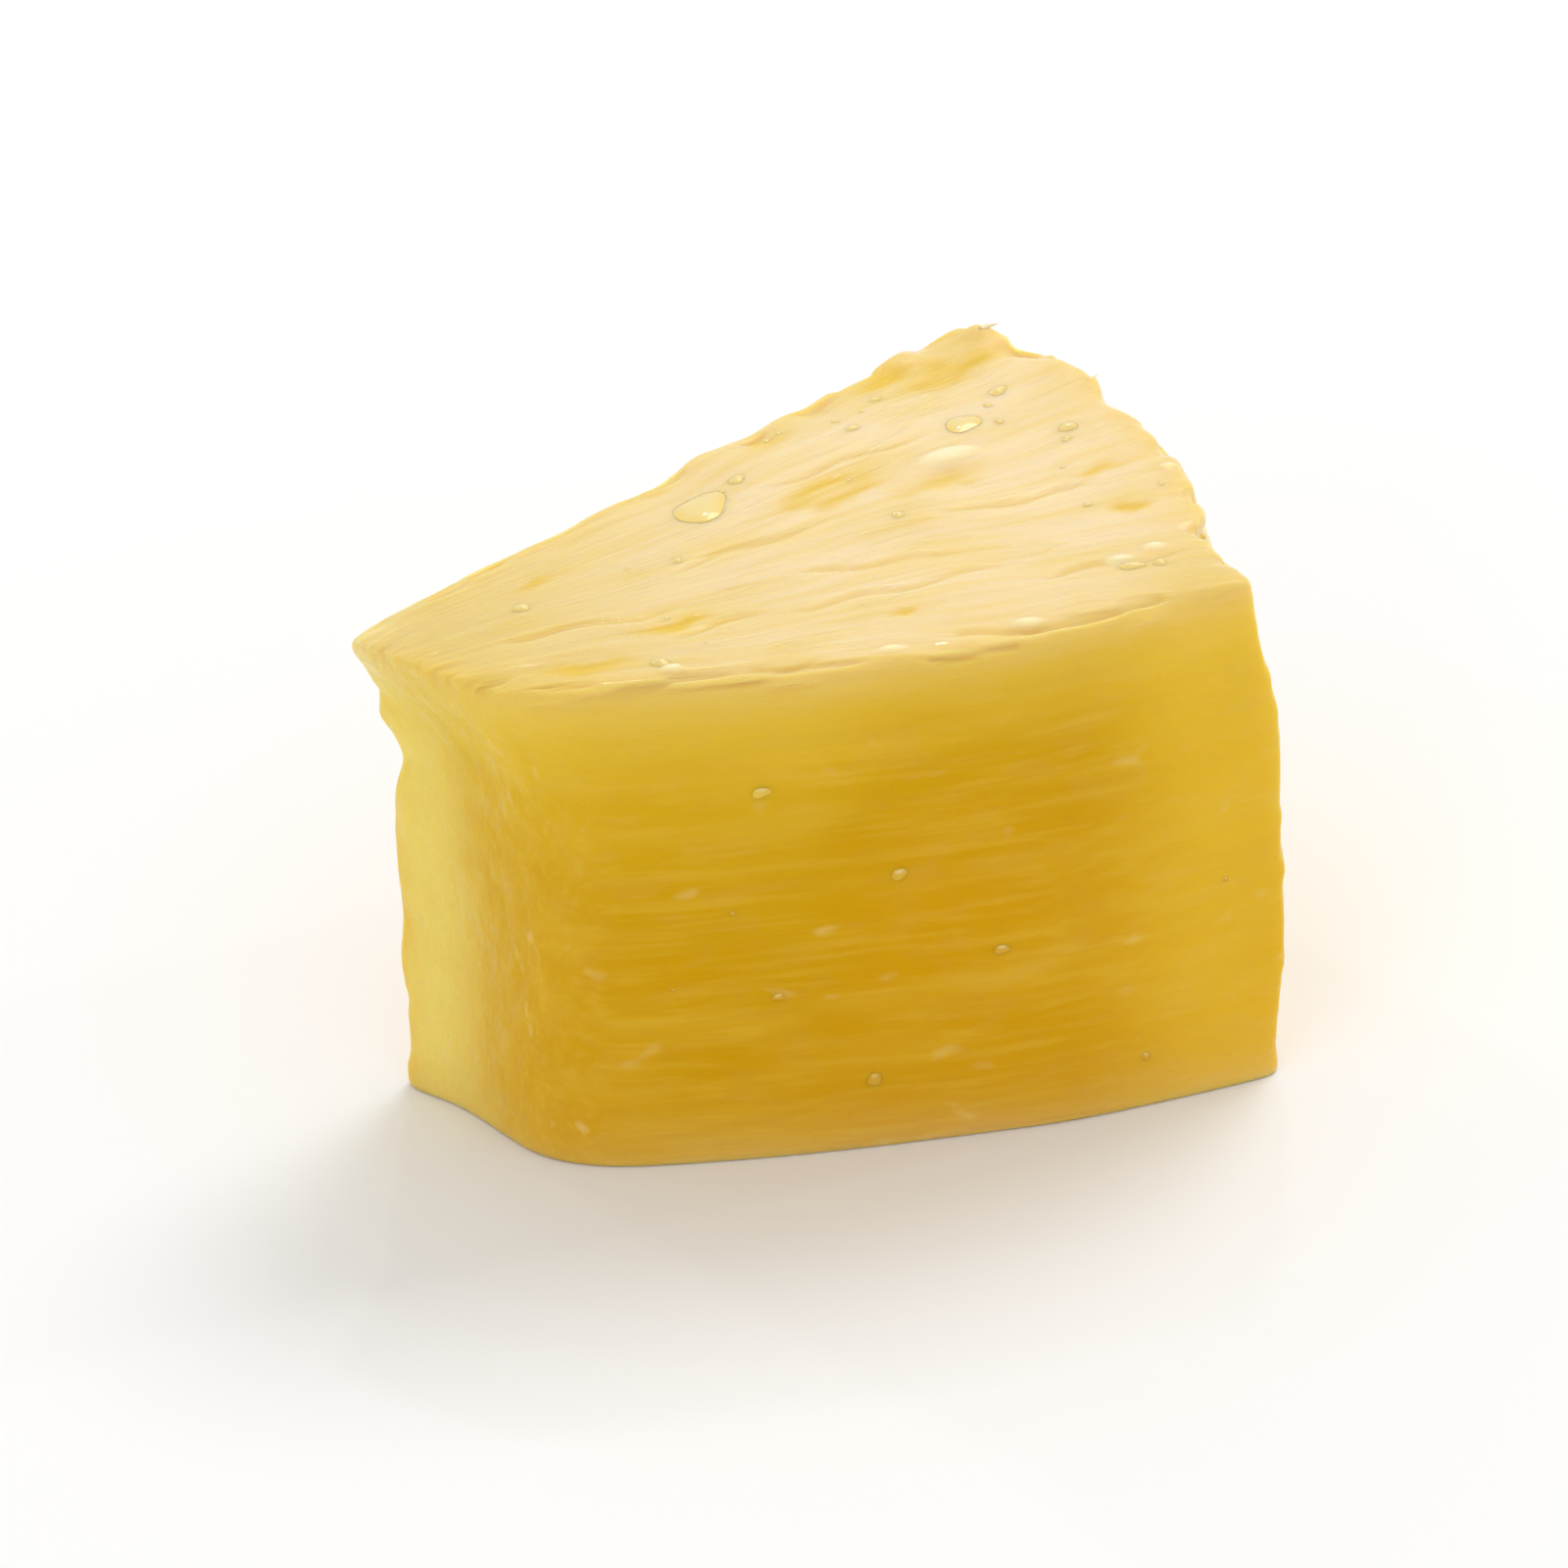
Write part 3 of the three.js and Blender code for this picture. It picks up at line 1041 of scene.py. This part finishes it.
# Grains along the fibres: the sizes of their lumps, and the detail of their noise.
FINE_STREAKS = ((7.0, 0.40, 0.40), 3.0)
BROAD_STREAKS = ((9.0, 1.5, 1.5), 2.0)
HAIRLINES = ((8.0, 0.9, 0.9), 1.0)
FINE_FIBRES = ((5.0, 0.35, 0.35), 3.0)
BLISTERS = ((0.9, 0.7, 0.7), 1.0)
STREAK_LEVELS = (0.32, 0.74)
HAIRLINE_LEVELS = (0.03, 0.0)

# Painted shares that lie over the faces: name, cover, and the colours on cut and on peeled flesh.
OVERLAYS = [
    ("tinge", 0.8, RIM_CUT, RIM_CUT),
    ("gold", 0.9, DEEP_GOLD, SLIT_GOLD),
    ("pale", 0.8, PALE_FLESH_AND_GLOW, EYE_PALE),
]

CORE_COVER = 0.8
CORE_RADIUS_COVER = 0.12
OUTER_COVER = 0.6
HAIRLINE_COVER = 0.28
GROOVE_COVER = 0.5

# The colours of the side turn deep sooner across its middle radii, a painted shadow, but not near the
# peel.
OUTER_LOSS = 1.2

ROUGHNESS = 0.26
ROUGHNESS_OF_FIBRES = 0.18
PEEL_SMOOTHNESS = 0.12
WETNESS = 0.10
PEEL_WETNESS = 0.4
PEEL_BLISTERS = 0.5
HAIRLINE_DEPTH = 0.25
BUMP_DEPTH = 0.10 * MM

# The ripple on the juice and on the loose fibres: its lumps for each metre, and its strength.
JUICE_RIPPLE = (900.0, 0.3)
FIBRE_RIPPLE = (1200.0, 0.4)
RIPPLE_DEPTH = 0.02 * MM

# Where juice turns deeper in colour: on the way out to a drop's edge, painted shade at its rim, and
# down the slice, following the flesh's painted shade.
JUICE_EDGE = (0.35, 0.95)
JUICE_LOW = (0.95, 0.35)


def add(tree, kind, inputs=None, **settings):
    """A new shader node. An input is a value or another node's output."""
    made = tree.nodes.new("ShaderNode" + kind)
    for name, value in settings.items():
        setattr(made, name, value)
    for name, value in (inputs or {}).items():
        if isinstance(value, bpy.types.NodeSocket):
            tree.links.new(value, made.inputs[name])
        else:
            made.inputs[name].default_value = value
    return made


def math_of(tree, operation, *values):
    return add(tree, "Math", dict(enumerate(values)), operation=operation).outputs[0]


def times(tree, value, amount):
    return math_of(tree, "MULTIPLY", value, amount)


def mix(tree, share, first, second):
    """The colour first where share is 0 and second where it is 1."""
    return add(tree, "Mix", {0: share, 6: first, 7: second}, data_type="RGBA").outputs[2]


def painted(tree, name):
    """The share of that name that was painted on the mesh."""
    return add(tree, "Attribute", attribute_name=name).outputs["Fac"]


def grain(tree, places, sizes, detail):
    """Noise from 0 to 1 with lumps of the given sizes along the fibres, across them and up."""
    rates = tuple(1 / size for size in sizes)
    spread = add(tree, "VectorMath", {0: places, 1: rates}, operation="MULTIPLY").outputs[0]
    inputs = {"Vector": spread, "Scale": 1.0, "Detail": detail}
    return add(tree, "TexNoise", inputs).outputs["Fac"]


def between(tree, value, low, high):
    """From 0 where value is low to 1 where it is high, smoothly."""
    inputs = {"Value": value, "From Min": low, "From Max": high}
    return add(tree, "MapRange", inputs, interpolation_type="SMOOTHSTEP").outputs[0]


def patches(tree, places, sizes, detail, start, full, cover):
    """How far patches of noise cover what lies under them."""
    return times(tree, between(tree, grain(tree, places, sizes, detail), start, full), cover)


def ramp(tree, value, stops):
    made = add(tree, "ValToRGB", {"Fac": value})
    elements = made.color_ramp.elements
    while len(elements) < len(stops):
        elements.new(1.0)
    for element, (place, colour) in zip(elements, stops):
        element.position = place
        element.color = colour
    return made.outputs["Color"]


def new_material(name):
    """A material and its node tree, still empty."""
    material = bpy.data.materials.new(name)
    material.use_nodes = True
    material.node_tree.nodes.clear()
    return material, material.node_tree


def add_surface(tree, inputs):
    shader = add(tree, "BsdfPrincipled", inputs)
    add(tree, "OutputMaterial", {"Surface": shader.outputs[0]})


def cut_colour(tree, places, radius, line):
    """The faces cut across the fruit: cream, with gold streaks, and deeper towards the core."""
    fine = grain(tree, places, *FINE_STREAKS)
    broad = grain(tree, places, *BROAD_STREAKS)
    streak = math_of(tree, "ADD", times(tree, fine, 0.5), times(tree, broad, 0.5))
    colour = mix(tree, between(tree, streak, *STREAK_LEVELS), PALE_CUT, GOLDEN_CUT)
    colour = mix(tree, between(tree, radius, *TIP_RADII), colour, TIP_CUT)
    colour = mix(tree, patches(tree, places, *GOLD_CLOUDS), colour, GOLD)
    return mix(tree, line, colour, GOLD)


def side_colour(tree, places, radius, depth):
    """The faces cut along the fruit: paler at the rim, a painted glow, and at the core, and deep gold
    lower down, partly painted shade.
    """
    outer = between(tree, radius, *OUTER_RADII)
    near_core = times(tree, between(tree, radius, *CORE_RADII), CORE_RADIUS_COVER)
    # Painted shadow: the side turns deep sooner across its middle radii.
    shadow_pace = math_of(tree, "ADD", 1.0, between(tree, radius, *SIDE_SHADOW_RADII))
    shadow_pace = math_of(tree, "SUBTRACT", shadow_pace, times(tree, outer, OUTER_LOSS))
    colour = ramp(tree, times(tree, depth, shadow_pace), SIDE_STOPS)
    colour = mix(tree, times(tree, outer, OUTER_COVER), colour, SIDE_OUTER)
    for patch, over in SIDE_PATCHES:
        colour = mix(tree, patches(tree, places, *patch), colour, over)
    colour = mix(tree, near_core, colour, CORE_PALE)
    return mix(tree, times(tree, painted(tree, "core"), CORE_COVER), colour, CORE_PALE)


def peel_colour(tree, places, depth):
    """The peeled face: wet gold, with pale marbling round the eyes and pale ends of fibres."""
    marble = times(tree, patches(tree, places, *MARBLE), painted(tree, "eye"))
    colour = ramp(tree, depth, PEEL_STOPS)
    colour = mix(tree, patches(tree, places, *PEEL_SMEARS), colour, CORE_PALE)
    colour = mix(tree, marble, colour, EYE_PALE)
    return mix(tree, patches(tree, places, *GRIT), colour, EYE_PALE)


def hairlines(tree, places, top):
    """Thin lines along the fibres of the faces cut across the fruit, in patches."""
    off_middle = math_of(tree, "SUBTRACT", grain(tree, places, *HAIRLINES), 0.5)
    line = between(tree, math_of(tree, "ABSOLUTE", off_middle), *HAIRLINE_LEVELS)
    return times(tree, times(tree, line, patches(tree, places, *HAIRLINE_PATCHES)), top)


def flesh_colour(tree, places, top, peel, hairline):
    """The colour of each face, and over it those of the rims, the sacs and slits, and the lumps."""
    separate = add(tree, "SeparateXYZ", {0: places})
    radius = separate.outputs["X"]
    height = math_of(tree, "DIVIDE", separate.outputs["Z"], THICKNESS)
    depth = math_of(tree, "SUBTRACT", 1.0, height)
    # Grooves turn gold, and with them the painted shade under the beads of juice.
    groove = times(tree, painted(tree, "groove"), GROOVE_COVER)
    line = math_of(tree, "MAXIMUM", times(tree, hairline, HAIRLINE_COVER), groove)
    side = side_colour(tree, places, radius, depth)
    colour = mix(tree, peel, side, peel_colour(tree, places, depth))
    colour = mix(tree, top, colour, cut_colour(tree, places, radius, line))
    for name, cover, on_cut, on_peel in OVERLAYS:
        over = mix(tree, peel, on_cut, on_peel)
        colour = mix(tree, times(tree, painted(tree, name), cover), colour, over)
    return colour


def flesh_roughness(tree, fine, peel):
    rough = math_of(tree, "MULTIPLY_ADD", fine, ROUGHNESS_OF_FIBRES, ROUGHNESS)
    return math_of(tree, "SUBTRACT", rough, times(tree, peel, PEEL_SMOOTHNESS))


def flesh_wetness(tree, places, peel):
    """How far juice coats the flesh: a film in patches, and more on the peeled face."""
    wetness = math_of(tree, "ADD", WETNESS, patches(tree, places, *WET_FILM))
    return math_of(tree, "ADD", wetness, times(tree, peel, PEEL_WETNESS))


def flesh_bump(tree, places, fine, peel, hairline):
    """Fine fibres, hairlines between them, and blisters on the peeled face."""
    blister = times(tree, grain(tree, places, *BLISTERS), times(tree, peel, PEEL_BLISTERS))
    height = math_of(tree, "SUBTRACT", fine, times(tree, hairline, HAIRLINE_DEPTH))
    height = math_of(tree, "ADD", height, blister)
    return add(tree, "Bump", {"Height": height, "Strength": 1.0, "Distance": BUMP_DEPTH}).outputs[0]


def flesh_material():
    """Moist flesh that light sinks into, coloured face by face."""
    material, tree = new_material("pineapple_flesh")
    places = add(tree, "Attribute", attribute_name="fibre").outputs["Vector"]
    top = painted(tree, "top")
    peel = painted(tree, "peel")
    hairline = hairlines(tree, places, top)
    fine = grain(tree, places, *FINE_FIBRES)
    add_surface(tree, {
        "Base Color": flesh_colour(tree, places, top, peel, hairline),
        "Roughness": flesh_roughness(tree, fine, peel),
        "Normal": flesh_bump(tree, places, fine, peel, hairline),
        "IOR": 1.36,
        "Specular IOR Level": 0.12,
        "Subsurface Weight": 1.0,
        "Subsurface Radius": (1.0, 0.9, 0.4),
        "Subsurface Scale": 0.6 * MM,
        "Coat Weight": flesh_wetness(tree, places, peel),
        "Coat Roughness": 0.08,
        "Coat IOR": 1.34,
    })
    return material


def rippled(tree, scale, strength):
    """Even noise, and the bumps that it makes."""
    places = add(tree, "TexCoord").outputs["Object"]
    ripple = add(tree, "TexNoise", {"Vector": places, "Scale": scale}).outputs["Fac"]
    inputs = {"Height": ripple, "Strength": strength, "Distance": RIPPLE_DEPTH}
    return ripple, add(tree, "Bump", inputs).outputs[0]


def juice_material():
    """Juice that mirrors the lamps, coloured like the flesh under it, with painted shade deeper at a
    drop's edge.
    """
    material, tree = new_material("pineapple_juice")
    _, bump = rippled(tree, *JUICE_RIPPLE)
    places = add(tree, "TexCoord").outputs["Object"]
    height = add(tree, "SeparateXYZ", {0: places}).outputs["Z"]
    low = between(tree, height, *(share * THICKNESS * MM for share in JUICE_LOW))
    edge = between(tree, painted(tree, "edge"), *JUICE_EDGE)
    on_top = mix(tree, edge, JUICE_ON_CUT, JUICE_RIM_SHADE)
    on_peel = mix(tree, low, JUICE_ON_PEEL, JUICE_LOW_ON_PEEL)
    add_surface(tree, {
        "Base Color": mix(tree, painted(tree, "top"), on_peel, on_top),
        "Roughness": 0.2,
        "Normal": bump,
        "IOR": 1.36,
        "Specular IOR Level": 0.2,
        "Coat Weight": 1.0,
        "Coat Roughness": 0.09,
        "Coat IOR": 1.4,
    })
    return material


def wisp_material():
    material, tree = new_material("pineapple_fibre")
    mottle, bump = rippled(tree, *FIBRE_RIPPLE)
    add_surface(tree, {
        "Base Color": mix(tree, mottle, FIBRE_PALE, FIBRE_GOLD),
        "Roughness": 0.3,
        "Normal": bump,
    })
    return material


# ---- floor, light and camera

# The camera stands far off with a long lens, and is rolled a little, in degrees.
CAMERA_PLACE = (-0.4237, -0.8431, 0.6306)
CAMERA_ROLL = -1.48
CAMERA_LENS = 600.0
SENSOR = 36.0

# The lamps: name, place, size and power. The sparkles only put glints on the wet flesh.
LAMPS = [
    ("key", (0.55, 0.30, 0.95), 0.55, 4.0),
    ("fill", (-1.0, -0.75, 0.6), 0.8, 1.6),
    ("sparkle_0", (0.35, 0.62, 0.95), 0.06, 0.5),
    ("sparkle_1", (0.95, -0.10, 0.42), 0.06, 0.5),
    ("sparkle_2", (-0.25, 0.95, 0.45), 0.06, 0.5),
]
SKY_STRENGTH = 0.74

# The floor lies just below the foot.
FLOOR_REACH = 4.0
FLOOR_HEIGHT = -0.05 * MM
FLOOR_GREY = (0.93, 0.93, 0.93, 1)


def make_floor():
    signs = [(-1, -1), (1, -1), (1, 1), (-1, 1)]
    corners = [(x * FLOOR_REACH, y * FLOOR_REACH, FLOOR_HEIGHT) for x, y in signs]
    mesh = bpy.data.meshes.new("floor")
    mesh.from_pydata(corners, [], [(0, 1, 2, 3)])
    material, tree = new_material("floor")
    add_surface(tree, {
        "Base Color": FLOOR_GREY,
        "Roughness": 0.8,
        "Specular IOR Level": 0.1,
    })
    mesh.materials.append(material)
    floor = new_object("floor", mesh)


def soft_light(name, place, size, power):
    lamp = bpy.data.lights.new(name, "AREA")
    lamp.shape = "DISK"
    lamp.size = size
    lamp.energy = power
    light = new_object(name, lamp)
    light.location = place
    light.rotation_euler = (-Vector(place)).to_track_quat("-Z", "Y").to_euler()


def make_lights():
    world = bpy.data.worlds.new("studio")
    bpy.context.scene.world = world
    world.use_nodes = True
    background = world.node_tree.nodes["Background"]
    background.inputs["Color"].default_value = (1, 1, 1, 1)
    background.inputs["Strength"].default_value = SKY_STRENGTH
    for lamp in LAMPS:
        soft_light(*lamp)


def make_camera():
    middle = Vector(np.mean(CAD_BOX, axis=0))
    lens = bpy.data.cameras.new("camera")
    lens.lens = CAMERA_LENS
    lens.sensor_width = SENSOR
    camera = new_object("camera", lens)
    camera.location = CAMERA_PLACE
    look = (middle - Vector(CAMERA_PLACE)).to_track_quat("-Z", "Y").to_matrix()
    roll = Matrix.Rotation(radians(CAMERA_ROLL), 3, "Z")
    camera.rotation_euler = (look @ roll).to_euler()
    bpy.context.scene.camera = camera


# ---- the whole

def plan_shift():
    """Moves the plan's middle, as the true form has it, to the middle of the CAD solid."""
    places, _ = box_grid(*COARSE_GRID)
    points = on_flesh(places)
    low, high = (np.array(corner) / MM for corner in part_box("chunk"))
    shift = (low + high) / 2 - (points.min(0) + points.max(0)) / 2
    shift[2] = low[2]
    return shift


def finish_piece(piece, material):
    piece.data.materials.append(material)
    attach(piece, "root")


PLAN_SHIFT = plan_shift()

make_camera()
make_floor()
make_lights()
bpy.context.scene.view_settings.view_transform = "Standard"

flesh = make_flesh()
finish_piece(flesh, flesh_material())
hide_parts("chunk")
corners = [vertex.co for vertex in flesh.data.vertices]
faces = [face.vertices for face in flesh.data.polygons]
skin = BVHTree.FromPolygons(corners, faces)
finish_piece(make_beads(skin), juice_material())
finish_piece(make_wisps(skin), wisp_material())
